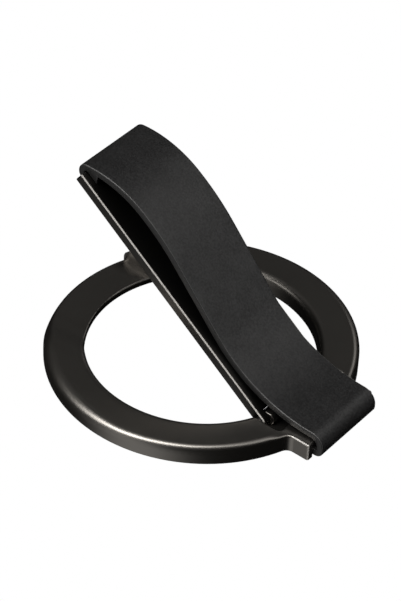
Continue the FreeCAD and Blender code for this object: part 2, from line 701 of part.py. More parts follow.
arm_edges = arm_plate.newObject("PartDesign::Fillet", "arm_edges")
arm_edges.Base = (arm_pad, ["Edge%d" % number for number in edge_numbers(arm_pad.Shape, on_arm_side)])
bind(arm_edges, {"Radius": "dims.arm_edge"})

half = read("arm_thick") / 2
past_end = -read("arm_length") - read("over_cut")
past_face = half + read("over_cut")
fork = sketch_on(arm_plate, "XZ_Plane", "fork")
rectangle(fork, -read("barrel_radius") - read("barrel_gap"), past_face, -past_face, past_face,
          ["-dims.barrel_radius - dims.barrel_gap", "dims.arm_thick / 2 + dims.over_cut",
           "-dims.arm_thick / 2 - dims.over_cut", "dims.arm_thick / 2 + dims.over_cut"])
pocket_across(arm_plate, fork, "fork_pocket", "2 * dims.fork_y")

tuck = sketch_on(arm_plate, "XZ_Plane", "tuck")
rectangle(tuck, past_end, read("turn_x") + read("arm_tail") + read("tail_gap"),
          -past_face, half - read("tongue_thick"),
          ["-dims.arm_length - dims.over_cut", "dims.turn_x + dims.arm_tail + dims.tail_gap",
           "-dims.arm_thick / 2 - dims.over_cut", "dims.arm_thick / 2 - dims.tongue_thick"])
pocket_across(arm_plate, tuck, "tuck_pocket", "2 * dims.tuck_y")

notch = sketch_on(arm_plate, "XZ_Plane", "notch")
rectangle(notch, past_end, read("turn_x") + read("tongue_gap"), -past_face, past_face,
          ["-dims.arm_length - dims.over_cut", "dims.turn_x + dims.tongue_gap",
           "-dims.arm_thick / 2 - dims.over_cut", "dims.arm_thick / 2 + dims.over_cut"])
pocket_across(arm_plate, notch, "notch_pocket", "2 * dims.tuck_y")

rivet_plan = sketch_on(arm_plate, "XY_Plane", "rivet_plan")
for number, sign in enumerate((-1, 1)):
    place = Vector(read("rivet_x"), sign * read("rivet_y"))
    rivet_plan.addGeometry(Part.Circle(place, Vector(0, 0, 1), read("rivet_radius")))
    measure(rivet_plan, "Radius", number, read("rivet_radius"), "dims.rivet_radius")
    limit(rivet_plan, "DistanceX", number, 3, "dims.rivet_x")
    limit(rivet_plan, "DistanceY", number, 3, "%d * dims.rivet_y" % sign)
pocket_across(arm_plate, rivet_plan, "rivet_pocket", "2 * dims.arm_thick")

arm_plate.Placement = Placement(Vector(), Rotation(Vector(0, 1, 0), 1))
bind(arm_plate, {
    "Placement.Base.x": "dims.hinge_x",
    "Placement.Base.z": "dims.hinge_z",
    "Placement.Rotation.Angle": "dims.arm_angle",
})
pieces.append(arm_plate)


def rivet(name, sign):
    """Rivet through the arm, square to it."""
    item = doc.addObject("Part::Cylinder", name)
    item.Placement = Placement(Vector(), Rotation(Vector(0, 1, 0), 1))
    bind(item, {
        "Radius": "dims.rivet_radius",
        "Height": "dims.arm_thick",
        "Placement.Rotation.Angle": "dims.arm_angle",
        "Placement.Base.x": "dims.hinge_x + dims.rivet_x * cos(dims.arm_angle)"
                            " - dims.arm_thick / 2 * sin(dims.arm_angle)",
        "Placement.Base.y": "%d * dims.rivet_y" % sign,
        "Placement.Base.z": "dims.hinge_z - dims.rivet_x * sin(dims.arm_angle)"
                            " - dims.arm_thick / 2 * cos(dims.arm_angle)",
    })
    return item


arm_rivets = group("arm_rivets", [rivet("rivet_front", -1), rivet("rivet_back", 1)])
pieces.append(arm_rivets)

# Clamp plate and screws under the lug


def screw(name, sign):
    """Flat-headed screw up into the lug."""
    y = "%d * dims.screw_y" % sign
    head = post(name + "_head", "dims.screw_head", "dims.pad_proud", "dims.pad_proud + dims.screw_sink",
                "dims.screw_x", y)
    shank = post(name + "_shank", "dims.screw_radius", "dims.pad_proud", "dims.lug_seat + dims.screw_grip",
                 "dims.screw_x", y)
    return join(name, [head, shank])


clamp_screws = group("clamp_screws", [screw("screw_front", -1), screw("screw_back", 1)])
clamp_blank = box("clamp_blank", "dims.tail_x", "dims.tail_x + dims.clamp_length",
                  "dims.clamp_inset - dims.strap_width / 2", "dims.strap_width / 2 - dims.clamp_inset",
                  "dims.pad_proud", "dims.clamp_top")
strap_clamp = cut("strap_clamp", clamp_blank, clamp_screws)
pieces.append(strap_clamp)
pieces.append(clamp_screws)

# Strap: side view as lines and tangent arcs, then holes for the screws and rivets


def heading(slope):
    """Unit vector along the strap, from the lug to the arm, at one slope."""
    return Vector(-math.cos(slope), math.sin(slope))


def outward(slope):
    """Unit vector out of the strap's upper face at one slope."""
    return Vector(math.sin(slope), math.cos(slope))


def on_arm(x, z):
    """Point of the arm's own frame in the strap's side view."""
    tilt = math.radians(read("arm_angle"))
    return Vector(read("hinge_x"), read("hinge_z")) - x * heading(tilt) + z * outward(tilt)


def strap_curves():
    """Centre, upper radius, lower radius, first and last slope of each bend, in order."""
    thick = read("strap_thick")
    tilt = math.radians(read("arm_angle"))
    steep = math.radians(read("arm_angle") + read("lift_angle"))
    brink = math.radians(read("arm_angle") - read("crest_angle"))
    shallow = math.radians(read("arm_angle") - read("dip_angle"))
    nose, chin, turn = read("nose_wrap"), read("chin_wrap"), read("turn_radius")
    crest = read("crest_radius")
    face_x = read("lug_reach") + read("nose_gap") + thick
    top = read("ring_height") + read("lug_gap") + thick
    chin_at = Vector(face_x - chin, read("lug_seat") - thick + chin)
    nose_at = Vector(face_x - nose, top - nose)
    turn_at = on_arm(read("turn_x"), read("turn_z"))
    over_arm = on_arm(0, read("arm_thick") / 2 + thick + read("strap_gap")).dot(outward(tilt))
    rise = (Vector(nose_at.x, top).dot(outward(tilt)) - over_arm) / (1 - math.cos(tilt))
    rise_at = Vector(nose_at.x, top + rise)
    rise_end = rise_at - rise * outward(steep)
    reach = turn_at + turn * outward(shallow) - crest * (outward(shallow) - outward(brink)) - rise_end
    fan = outward(brink) - outward(steep)
    along = heading(steep)
    bow = (reach.x * along.y - reach.y * along.x) / (fan.x * along.y - fan.y * along.x)
    run = (reach.x * fan.y - reach.y * fan.x) / (along.x * fan.y - along.y * fan.x)
    bow_at = rise_end + run * along - bow * outward(steep)
    crest_at = bow_at + (bow - crest) * outward(brink)
    return [
        (chin_at, chin, chin - thick, math.pi, math.pi / 2),
        (nose_at, nose, nose - thick, math.pi / 2, 0.0),
        (rise_at, -rise, -rise - thick, 0.0, steep),
        (bow_at, bow, bow - thick, steep, brink),
        (crest_at, crest, crest - thick, brink, shallow),
        (turn_at, turn, turn - thick, shallow, tilt - math.pi),
    ]


def strap_wire(sketch):
    """Closed side view of the strap."""
    curves = strap_curves()
    thick = read("strap_thick")
    tilt = math.radians(read("arm_angle"))
    tail_low = Vector(read("tail_x"), read("lug_seat") - thick)
    tail_arm = on_arm(read("turn_x") + read("arm_tail"), read("turn_z") - read("turn_radius"))
    state = {"at": tail_low}

    def line_to(point):
        if (point - state["at"]).Length > 1e-6:
            sketch.addGeometry(Part.LineSegment(state["at"], point))
        state["at"] = point

    def arc_to(centre, radius, first, last):
        points = [centre + radius * outward(slope) for slope in (first, (first + last) / 2, last)]
        line_to(points[0])
        sketch.addGeometry(Part.Arc(*points))
        state["at"] = points[2]

    for centre, upper, lower, first, last in curves:
        arc_to(centre, upper, first, last)
    line_to(tail_arm)
    line_to(tail_arm + thick * outward(tilt))
    turn_at, turn, turn_in, shallow, end = curves[5]
    arc_to(turn_at, turn_in, end, shallow)
    foot_z = read("arm_thick") / 2 + read("foot_gap")
    line_to(on_arm(read("turn_x") + read("tongue_gap"), foot_z))
    crest_at, crest, crest_in, brink, shallow = curves[4]
    foot_x = read("turn_x") + read("foot_length")
    line_to(on_arm(foot_x, foot_z))
    offset = (on_arm(foot_x, 0) - crest_at).dot(heading(tilt))
    foot_slope = tilt - math.asin(offset / crest_in)
    arc_to(crest_at, crest_in, foot_slope, brink)
    for centre, upper, lower, first, last in reversed(curves[:4]):
        arc_to(centre, lower, last, first)
    line_to(Vector(read("tail_x"), read("lug_seat")))
    line_to(tail_low)


strap_blank = body_of("strap_blank")
strap_side = sketch_on(strap_blank, "XZ_Plane", "strap_side")
strap_wire(strap_side)
swell(strap_blank, strap_side, "strap_pad", "dims.strap_width", True)
strap_holes = group("strap_holes", [clamp_screws, arm_rivets])
strap = cut("strap", strap_blank, strap_holes)
pieces.append(strap)

doc.recompute()

os.makedirs("parts", exist_ok=True)
for item in doc.Objects:
    if "Invalid" in item.State or "Error" in item.State:
        raise RuntimeError("not built: %s %s" % (item.Label, item.State))
for piece in pieces:
    if piece.Shape.isNull() or not piece.Shape.isValid():
        raise RuntimeError("no valid shape: " + piece.Label)
    piece.Shape.exportStep("parts/%s.step" % piece.Label)
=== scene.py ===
"""Looks of a magnetic phone stand: camera, light, materials and the strap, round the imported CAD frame."""

import json
import math

import bmesh
import bpy
from mathutils import Matrix, Vector


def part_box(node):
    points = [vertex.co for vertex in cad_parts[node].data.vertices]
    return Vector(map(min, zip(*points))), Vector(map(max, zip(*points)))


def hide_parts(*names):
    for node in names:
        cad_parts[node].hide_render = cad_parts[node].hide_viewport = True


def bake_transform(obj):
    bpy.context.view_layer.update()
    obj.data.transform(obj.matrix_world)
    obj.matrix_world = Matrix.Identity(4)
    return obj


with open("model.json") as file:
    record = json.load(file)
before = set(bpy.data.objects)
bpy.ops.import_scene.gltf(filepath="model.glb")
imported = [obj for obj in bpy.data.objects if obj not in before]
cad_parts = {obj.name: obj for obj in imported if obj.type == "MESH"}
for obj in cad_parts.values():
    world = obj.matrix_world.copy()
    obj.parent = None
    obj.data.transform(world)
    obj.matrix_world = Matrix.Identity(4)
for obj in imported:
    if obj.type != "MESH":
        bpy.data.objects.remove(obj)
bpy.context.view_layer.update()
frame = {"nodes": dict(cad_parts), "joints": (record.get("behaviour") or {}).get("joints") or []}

MM = 0.001
nodes = frame["nodes"]
hinge = frame["joints"][0]

# Sizes of the ring and of the strap's path that no box shows, the same as in the CAD

RING_TOP = 3.7 * MM
LUG_HALF = 9.5 * MM
RIM_RADIUS = 29.0 * MM
BORE_RADIUS = 21.5 * MM
RECESS_FLOOR = 1.35 * MM
STRAP_THICK = 1.4 * MM
LUG_GAP = 0.35 * MM
NOSE_ROUND = 1.4 * MM
CHIN_ROUND = 0.25 * MM
TONGUE = 1.0 * MM
STRAP_GAP = 0.15 * MM
LUG_TAIL = 3.0 * MM
ARM_TAIL = 3.2 * MM
FOOT = 1.8 * MM
FOOT_GAP = 0.02 * MM
CREST_RADIUS = 20.7 * MM
LIFT = math.radians(11.7)
CREST = math.radians(3.4)
DIP = math.radians(41.1)

# Sizes read from the frame, in metres

lug_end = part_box("ring_housing")[1].x
strap_back, strap_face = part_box("strap")[0].x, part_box("strap")[1].x
strap_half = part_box("strap")[1].y
strap_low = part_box("strap")[0].z
hinge_at = Vector(hinge["pos_m"])
tilt = math.radians(-hinge["range_deg"][0])
arm_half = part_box("arm_plate")[1].x - hinge_at.x

# Side view: directions and points in X and Z


def heading(slope):
    """Direction along the strap from the lug to the arm."""
    return Vector((-math.cos(slope), math.sin(slope)))


def outward(slope):
    """Direction out of the strap's upper face."""
    return Vector((math.sin(slope), math.cos(slope)))


def on_arm(x, z):
    """Point of the arm's own frame in the side view."""
    return Vector((hinge_at.x, hinge_at.z)) - x * heading(tilt) + z * outward(tilt)


def cross(first, second):
    """Signed area of two directions."""
    return first.x * second.y - first.y * second.x


# Camera, as fitted to the ring's outline in the photo

IMAGE_LONG = 601
FOCAL_PIXELS = 2600
SENSOR = 36.0
VIEW_AZIMUTH = math.radians(36.95)
VIEW_ELEVATION = math.radians(41.169)
VIEW_ROLL = math.radians(3.069)
VIEW_DISTANCE = 478.851 * MM
IMAGE_CENTRE = (200.5, 300.5)
ORIGIN_PIXEL = (200.881, 353.417)
NEAREST_SEEN = 10 * MM
FARTHEST_SEEN = 10.0


def make_camera():
    """Camera that puts the ring's centre on its pixel of the photo."""
    azimuth, elevation = VIEW_AZIMUTH, VIEW_ELEVATION
    back = Vector((
        math.sin(azimuth) * math.cos(elevation),
        -math.cos(azimuth) * math.cos(elevation),
        math.sin(elevation),
    ))
    level = Vector((math.cos(azimuth), math.sin(azimuth), 0.0))
    turn = Matrix.Rotation(VIEW_ROLL, 3, back)
    right = turn @ level
    up = turn @ back.cross(level)
    shift_x = (ORIGIN_PIXEL[0] - IMAGE_CENTRE[0]) / FOCAL_PIXELS
    shift_y = (ORIGIN_PIXEL[1] - IMAGE_CENTRE[1]) / FOCAL_PIXELS
    place = VIEW_DISTANCE * (back - shift_x * right + shift_y * up)
    data = bpy.data.cameras.new("camera")
    data.sensor_width = SENSOR
    data.lens = FOCAL_PIXELS * SENSOR / IMAGE_LONG
    data.clip_start = NEAREST_SEEN
    data.clip_end = FARTHEST_SEEN
    camera = bpy.data.objects.new("camera", data)
    axes = Matrix((right, up, back)).transposed()
    camera.matrix_world = Matrix.Translation(place) @ axes.to_4x4()
    bpy.context.scene.collection.objects.link(camera)
    bpy.context.scene.camera = camera


# Shader nodes


class Nodes:
    """Short way to add and join shader nodes."""

    def __init__(self, tree):
        self.tree = tree
        tree.nodes.clear()

    def add(self, kind, values=None, **settings):
        """New node with its settings and socket values, or the sockets that feed it."""
        node = self.tree.nodes.new(kind)
        for name, setting in settings.items():
            setattr(node, name, setting)
        for socket, value in (values or {}).items():
            if isinstance(value, bpy.types.NodeSocket):
                self.tree.links.new(value, node.inputs[socket])
            else:
                node.inputs[socket].default_value = value
        return node

    def math(self, operation, first, second=0.0):
        """One step of arithmetic."""
        return self.add("ShaderNodeMath", {0: first, 1: second}, operation=operation).outputs[0]

    def product(self, first, *others):
        """Several values multiplied together."""
        total = first
        for other in others:
            total = self.math("MULTIPLY", total, other)
        return total

    def vector(self, operation, first, second=(0.0, 0.0, 0.0)):
        """One step of vector arithmetic."""
        return self.add("ShaderNodeVectorMath", {0: first, 1: second}, operation=operation)

    def dot(self, first, second):
        """Length of one vector along another."""
        return self.vector("DOT_PRODUCT", first, second).outputs["Value"]

    def apart(self, vector):
        """The X, Y and Z of a vector."""
        return self.add("ShaderNodeSeparateXYZ", {0: vector}).outputs

    def ramp(self, value, low, high, out_low=0.0, out_high=1.0):
        """Smooth step from one value to another."""
        sockets = {0: value, 1: low, 2: high, 3: out_low, 4: out_high}
        return self.add("ShaderNodeMapRange", sockets, interpolation_type="SMOOTHSTEP").outputs[0]


# Studio: a white floor and soft lamps all round

# Each lamp: azimuth, elevation and roll, then half size and soft edge along it and across it, in degrees
# The last number is its strength

LAMPS = [
    (-109.8, 56, 52.4, (5, 44), (4, 9), 11.0),
    (60, 84, 0, (7, 12), (7, 12), 0.5),
    (-97, -25, 0, (6, 30), (34, 25), 0.52),
    (12, 50, 0, (15, 9), (13, 9), 1.0),
    (80, 27, -47, (12, 14), (4, 9), 0.9),
    (118, 10, 0, (14, 16), (12, 16), 0.042),
    (142, 43, 0, (18, 18), (14, 16), 0.042),
]
LAMP_COLOUR = (1.0, 0.985, 0.965, 1.0)
WHITE = (1.0, 1.0, 1.0, 1.0)
DARK_ROOM = 0.007
LEAST_AHEAD = 0.001
FLOOR_HALF = 3.0
FLOOR_DROP = 0.02 * MM


def soft_box(net, ray, azimuth, elevation, roll, length, width, strength):
    """Light of one flat lamp far away, fading at its edges."""
    turn, lift, spin = math.radians(azimuth), math.radians(elevation), math.radians(roll)
    aim = Vector((math.cos(turn) * math.cos(lift), math.sin(turn) * math.cos(lift), math.sin(lift)))
    level = Vector((-math.sin(turn), math.cos(turn), 0.0))
    long_axis = Matrix.Rotation(spin, 3, aim) @ level
    ahead = net.math("MAXIMUM", net.dot(ray, aim), LEAST_AHEAD)
    glow = strength
    for axis, (half, soft) in ((long_axis, length), (aim.cross(long_axis), width)):
        along = net.math("DIVIDE", net.dot(ray, axis), ahead)
        angle = net.math("ARCTANGENT", net.math("ABSOLUTE", along))
        edge = net.ramp(angle, math.radians(half), math.radians(half + soft), 1.0, 0.0)
        glow = net.math("MULTIPLY", edge, glow)
    return glow


def make_world():
    """Dark room with soft lamps, white to the camera."""
    world = bpy.data.worlds.new("studio")
    world.use_nodes = True
    bpy.context.scene.world = world
    net = Nodes(world.node_tree)
    ray = net.add("ShaderNodeTexCoord").outputs["Generated"]
    total = DARK_ROOM
    for lamp in LAMPS:
        total = net.math("ADD", soft_box(net, ray, *lamp), total)
    lamps = net.add("ShaderNodeBackground", {"Color": LAMP_COLOUR, "Strength": total})
    white = net.add("ShaderNodeBackground", {"Color": WHITE, "Strength": 1.0})
    seen = net.add("ShaderNodeLightPath").outputs["Is Camera Ray"]
    both = net.add("ShaderNodeMixShader", {0: seen, 1: lamps.outputs[0], 2: white.outputs[0]})
    net.add("ShaderNodeOutputWorld", {"Surface": both.outputs[0]})


def make_floor():
    """Plain white floor under the part."""
    half = FLOOR_HALF
    mesh = bpy.data.meshes.new("floor")
    corners = [(-half, -half, 0), (half, -half, 0), (half, half, 0), (-half, half, 0)]
    mesh.from_pydata(corners, [], [(0, 1, 2, 3)])
    material = bpy.data.materials.new("floor_white")
    material.use_nodes = True
    net = Nodes(material.node_tree)
    glow = net.add("ShaderNodeEmission", {"Color": WHITE, "Strength": 1.0})
    net.add("ShaderNodeOutputMaterial", {"Surface": glow.outputs[0]})
    mesh.materials.append(material)
    floor = bpy.data.objects.new("floor", mesh)
    floor.location.z = -FLOOR_DROP
    floor.visible_diffuse = False
    floor.visible_glossy = False
    floor.visible_shadow = False
    bpy.context.scene.collection.objects.link(floor)


def set_view():
    """Plain photographic response."""
    bpy.context.scene.view_settings.view_transform = "Standard"


# Materials: grains are given as features per metre and detail, reliefs as strength and depth

NOISE_SPAN = (0.3, 0.7)


def new_material(name):
    """Empty node material with object coordinates ready."""
    material = bpy.data.materials.new(name)
    material.use_nodes = True
    net = Nodes(material.node_tree)
    place = net.add("ShaderNodeTexCoord").outputs["Object"]
    return material, net, place


def close_material(net, values):
    """Surface and output of a material."""
    shader = net.add("ShaderNodeBsdfPrincipled", values)
    net.add("ShaderNodeOutputMaterial", {"Surface": shader.outputs[0]})


def grain(net, place, scale, detail):
    """Fine even noise."""
    return net.add("ShaderNodeTexNoise", {"Vector": place, "Scale": scale, "Detail": detail}).outputs[0]


def spread(net, noise, low, high):
    """The middle span of a noise, stretched between two values."""
    return net.ramp(noise, *NOISE_SPAN, low, high)


def relief(net, height, strength, depth, normal=None):
    """Bump from a height, over a normal of its own if there is one."""
    sockets = {"Height": height, "Strength": strength, "Distance": depth}
    if normal is not None:
        sockets["Normal"] = normal
    return net.add("ShaderNodeBump", sockets).outputs[0]


def opaque(colour):
    """Colour for a socket, from three numbers or another socket."""
    return colour if isinstance(colour, bpy.types.NodeSocket) else (*colour, 1.0)


def tint(net, value, dark, light):
    """Colour between two, by a value."""
    sockets = {0: value, 6: opaque(dark), 7: opaque(light)}
    return net.add("ShaderNodeMix", sockets, data_type="RGBA").outputs[2]


def distance_out(net, place):
    """Direction away from the ring's axis and distance from it."""
    level = net.vector("MULTIPLY", place, (1.0, 1.0, 0.0)).outputs[0]
    return net.vector("NORMALIZE", level).outputs[0], net.vector("LENGTH", level).outputs["Value"]


# Worn edges that also carry a painted highlight: where the coat begins to thin and where it is gone, in
# from an edge

WEAR_GLINT_FROM = 0.32 * MM
WEAR_GLINT_FULL = 0.12 * MM
WORN_GLINT_TONE = (0.60, 0.58, 0.55)
LUG_FROM = 4.0 * MM
LUG_FULL = 3.4 * MM
GLINT = 0.3
GLINT_FROM = -3.0 * MM
GLINT_FULL = 2.0 * MM
LIP_FROM = 2.9 * MM
LIP_FULL = 2.5 * MM


def near(net, distance, limit):
    """Rises to one where a distance comes close to its limit."""
    return net.ramp(distance, limit - WEAR_GLINT_FROM, limit - WEAR_GLINT_FULL)


def ring_wear_and_glint(net, place):
    """Mask of the lug's upper edges and end corners, lighter as worn edges and as a painted highlight, and
    of a painted highlight on the recess's edge along the bore.
    """
    x, y, z = net.apart(place)
    side = near(net, net.math("ABSOLUTE", y), LUG_HALF)
    edge = net.math("MAXIMUM", near(net, z, RING_TOP), near(net, x, lug_end))
    beyond = net.ramp(x, lug_end - LUG_FROM, lug_end - LUG_FULL)
    inward = net.math("MULTIPLY", distance_out(net, place)[1], -1.0)
    # The recess's lip along the bore: a painted highlight, faded out along Y
    lip = net.math("MULTIPLY", near(net, inward, -BORE_RADIUS), near(net, z, RECESS_FLOOR))
    along = net.ramp(y, GLINT_FROM, GLINT_FULL, 0.0, GLINT)
    recess = net.ramp(x, LIP_FROM - BORE_RADIUS, LIP_FULL - BORE_RADIUS)
    return net.math("MAXIMUM", net.product(side, edge, beyond), net.product(lip, along, recess))


def arm_height(net, place):
    """Height square to the arm, and that of the arm's upper face."""
    out = outward(tilt)
    return net.dot(place, (out.x, 0.0, out.y)), on_arm(0, arm_half).dot(out)


def arm_wear_and_glint(net, place):
    """Mask of the arm's two long upper edges, lighter as worn edges and as a painted highlight."""
    side = near(net, net.math("ABSOLUTE", net.apart(place)[1]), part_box("arm_plate")[1].y)
    return net.math("MULTIPLY", side, near(net, *arm_height(net, place)))


# Painted shade: a darker tone on faces in shade, the bore's wall by the hinge, the recess's corner and the
# arm's face under the strap

SHADE_TONE = 0.42
BORE_FROM = 1.2 * MM
BORE_FULL = 0.4 * MM
AHEAD_FROM = -8.0 * MM
AHEAD_FULL = 2.0 * MM
DEEP_FROM = 0.2 * MM
DEEP_FULL = 1.6 * MM
CORNER_FROM = 6.0 * MM
CORNER_FULL = 9.0 * MM
INSIDE_FROM = 0.4 * MM
INSIDE_FULL = 1.4 * MM
ARM_TOP = 0.1 * MM
ARM_SHARE = 0.5


def ring_painted_shade(net, place):
    """Mask of painted shade on the bore's wall by the hinge and in the recess's corner."""
    x, y, z = net.apart(place)
    radius = distance_out(net, place)[1]
    bore = net.ramp(radius, BORE_RADIUS + BORE_FROM, BORE_RADIUS + BORE_FULL)
    ahead = net.ramp(x, AHEAD_FROM, AHEAD_FULL)
    deep = net.ramp(z, RING_TOP - DEEP_FROM, RING_TOP - DEEP_FULL)
    corner = net.ramp(y, CORNER_FROM, CORNER_FULL)
    inside = net.ramp(radius, RIM_RADIUS - INSIDE_FROM, RIM_RADIUS - INSIDE_FULL)
    return net.math("MAXIMUM", net.product(bore, ahead), net.product(deep, corner, inside))


def arm_painted_shade(net, place):
    """Mask of painted shade on the arm's upper face under the strap."""
    height, top = arm_height(net, place)
    return net.ramp(height, top - ARM_TOP, top, 0.0, ARM_SHARE)


# Rim of the ring: its even rounding, and the limits of the faces that show it

RIM_ROUND = 1.55 * MM
BELOW_FROM = -0.15 * MM
BELOW_FULL = -0.02 * MM
FLAT_EDGE = 0.1 * MM
FRONT_FROM = 0.6 * MM
FRONT_FULL = 3.6 * MM
BACK_SPREAD = 0.5 * MM
BEFORE_FROM = 10.0 * MM
BEFORE_FULL = 5.0 * MM
BEYOND_RIM = 0.05 * MM
WITHIN_RIM = 0.01 * MM


def rim_share(net, place, radius, sunk):
    """Mask of the rim's rounded band, clear of the lug."""
    x, y, z = net.apart(place)
    drop = net.math("SUBTRACT", RING_TOP, z)
    below = net.ramp(net.math("SUBTRACT", sunk, drop), BELOW_FROM, BELOW_FULL)
    flat = RIM_RADIUS - RIM_ROUND
    past_flat = net.ramp(radius, flat - FLAT_EDGE, flat)
    within = net.ramp(radius, RIM_RADIUS + BEYOND_RIM, RIM_RADIUS + WITHIN_RIM)
    front = net.ramp(y, -LUG_HALF - FRONT_FROM, -LUG_HALF - FRONT_FULL)
    back = net.ramp(y, LUG_HALF - BACK_SPREAD, LUG_HALF + BACK_SPREAD)
    before = net.ramp(x, BEFORE_FROM, BEFORE_FULL)
    clear = net.math("MAXIMUM", net.math("MAXIMUM", front, back), before)
    return net.product(below, past_flat, within, clear)


def ring_normal(net, place):
    """Normal of the ring, with its rim rounded evenly all the way to the lug."""
    out, radius = distance_out(net, place)
    slope = {0: radius, 1: RIM_RADIUS - RIM_ROUND, 2: RIM_RADIUS, 3: 0.0, 4: 1.0}
    lean = net.add("ShaderNodeMapRange", slope).outputs[0]
    rise = net.math("SQRT", net.math("SUBTRACT", 1.0, net.math("MULTIPLY", lean, lean)))
    sideways = net.add("ShaderNodeVectorMath", {0: out, "Scale": lean}, operation="SCALE").outputs[0]
    upward = net.add("ShaderNodeCombineXYZ", {"Z": rise}).outputs[0]
    rounded = net.vector("ADD", sideways, upward).outputs[0]
    sunk = net.math("MULTIPLY", net.math("SUBTRACT", 1.0, rise), RIM_ROUND)
    share = rim_share(net, place, radius, sunk)
    true = net.add("ShaderNodeNewGeometry").outputs["Normal"]
    both = net.add("ShaderNodeMix", {0: share, 4: true, 5: rounded}, data_type="VECTOR").outputs[1]
    return net.vector("NORMALIZE", both).outputs[0]


# Coated metal of the ring and the arm

GUNMETAL = ((0.236, 0.224, 0.208), (0.264, 0.251, 0.234))
ARM_COAT = ((0.084, 0.080, 0.075), (0.096, 0.092, 0.086))
BLAST_GRAIN = (9000, 2)
BLAST_RELIEF = (0.01, 0.01 * MM)
CLOUD_GRAIN = (160, 3)
SATIN = (0.31, 0.35)


def coated_metal(name, tones, wear_and_glint, painted_shade, shape=None):
    """Satin coating on cast metal with fine blast texture, lighter on worn edges that also carry a painted
    highlight, and darker in painted shade.
    """
    material, net, place = new_material(name)
    blast = grain(net, place, *BLAST_GRAIN)
    cloud = grain(net, place, *CLOUD_GRAIN)
    # Lighter worn edges, partly a painted edge highlight
    wear_glint_share = wear_and_glint(net, place)
    # Painted shade: a darker copy of the coat's tone on faces in shade
    shaded_tones = [SHADE_TONE * tone for tone in tones[0]]
    satin = tint(net, painted_shade(net, place), tint(net, cloud, *tones), shaded_tones)
    normal = shape(net, place) if shape else None
    close_material(net, {
        "Base Color": tint(net, wear_glint_share, satin, WORN_GLINT_TONE),
        "Metallic": net.math("SUBTRACT", 1.0, wear_glint_share),
        "Roughness": spread(net, blast, *SATIN),
        "Normal": relief(net, blast, *BLAST_RELIEF, normal),
    })
    return material


# Leather of the strap: its tones, and where along X a paler tone is painted in as light on its middle and
# as a highlight on its fold

LEATHER = ((0.010, 0.010, 0.0103), (0.021, 0.021, 0.0214))
LEATHER_LIT = ((0.034, 0.034, 0.0344), (0.064, 0.064, 0.0647))
LEATHER_ROUGH = (0.37, 0.45)
LEATHER_RELIEF = (0.35, 0.06 * MM)
PEBBLES = 2200.0
FINE_GRAIN = (2600, 4)
FINE_HEIGHT = 0.8
MOTTLE_GRAIN = (220, 4)
FINE_SHARE = 0.7
MOTTLE_SHARE = 0.3
UPPER_SHEEN = (-18 * MM, 1 * MM)
LOWER_SHEEN = (25 * MM, 6 * MM)
FOLD_FROM = 3.0 * MM
FOLD_FULL = 1.4 * MM
FOLD_HIGHLIGHT = 0.45


def strap_painted_light(net, place):
    """Mask of painted light: a paler middle of the strap, and a painted highlight on its fold over the lug.
    """
    x = net.apart(place)[0]
    middle = net.math("MULTIPLY", net.ramp(x, *UPPER_SHEEN), net.ramp(x, *LOWER_SHEEN))
    fold = net.ramp(x, strap_face - FOLD_FROM, strap_face - FOLD_FULL, 0.0, FOLD_HIGHLIGHT)
    return net.math("MAXIMUM", middle, fold)


def strap_leather():
    """Matte charcoal leather with a fine pebbled grain, and painted light: paler in the middle and on the
    fold.
    """
    material, net, place = new_material("strap_leather")
    pebbles = {"Vector": place, "Scale": PEBBLES}
    cells = net.add("ShaderNodeTexVoronoi", pebbles, feature="SMOOTH_F1").outputs[0]
    fine = grain(net, place, *FINE_GRAIN)
    cloud = grain(net, place, *MOTTLE_GRAIN)
    height = net.math("ADD", cells, net.math("MULTIPLY", fine, FINE_HEIGHT))
    fine_part = net.math("MULTIPLY", fine, FINE_SHARE)
    mottle = net.math("ADD", fine_part, net.math("MULTIPLY", cloud, MOTTLE_SHARE))
    spots = spread(net, mottle, 0.0, 1.0)
    plain = tint(net, spots, *LEATHER)
    # Painted light: a lit copy of the leather's tones
    pale = tint(net, spots, *LEATHER_LIT)
    close_material(net, {
        "Base Color": tint(net, strap_painted_light(net, place), plain, pale),
        "Roughness": spread(net, fine, *LEATHER_ROUGH),
        "Normal": relief(net, height, *LEATHER_RELIEF),
    })
    return material


# Plastic, rubber, paint, film and bare metal: tones and roughness, each from and to

RUBBER = ((0.026, 0.034), (0.62, 0.74))
BLACK_OXIDE = ((0.010, 0.014), (0.42, 0.5))
EDGE_PAINT = ((0.017, 0.022), (0.38, 0.48))
# A painted highlight along the strap's rounded edges
EDGE_HIGHLIGHT_TONE = ((0.085, 0.11), (0.38, 0.48))
SKIN_GRAIN = (5000, 2)
SKIN_RELIEF = (0.2, 0.04 * MM)
FILM = ((0.50, 0.50, 0.47), (0.60, 0.60, 0.56))
FILM_GRAIN = (900, 3)
FILM_ROUGH = (0.4, 0.55)
NICKEL = ((0.56, 0.55, 0.52), (0.66, 0.65, 0.62))
STEEL = ((0.40, 0.40, 0.40), (0.52, 0.52, 0.51))
BRONZE = ((0.44, 0.30, 0.13), (0.56, 0.40, 0.19))
DRAWN_GRAIN = (2500, 3)
DRAWN_RELIEF = (0.08, 0.02 * MM)
DRAWN_ROUGH = (0.24, 0.38)
EVEN = (1, 1, 1)
DRAWN_STEEL = (1, 0.1, 1)
DRAWN_BRONZE = (1, 0.2, 1)


def matte_skin(name, greys, roughness):
    """Matte plastic, rubber or paint with a fine skin."""
    material, net, place = new_material(name)
    fine = grain(net, place, *SKIN_GRAIN)
    dark, light = greys
    close_material(net, {
        "Base Color": tint(net, fine, (dark, dark, dark), (light, light, light)),
        "Roughness": spread(net, fine, *roughness),
        "Normal": relief(net, fine, *SKIN_RELIEF),
    })
    return material


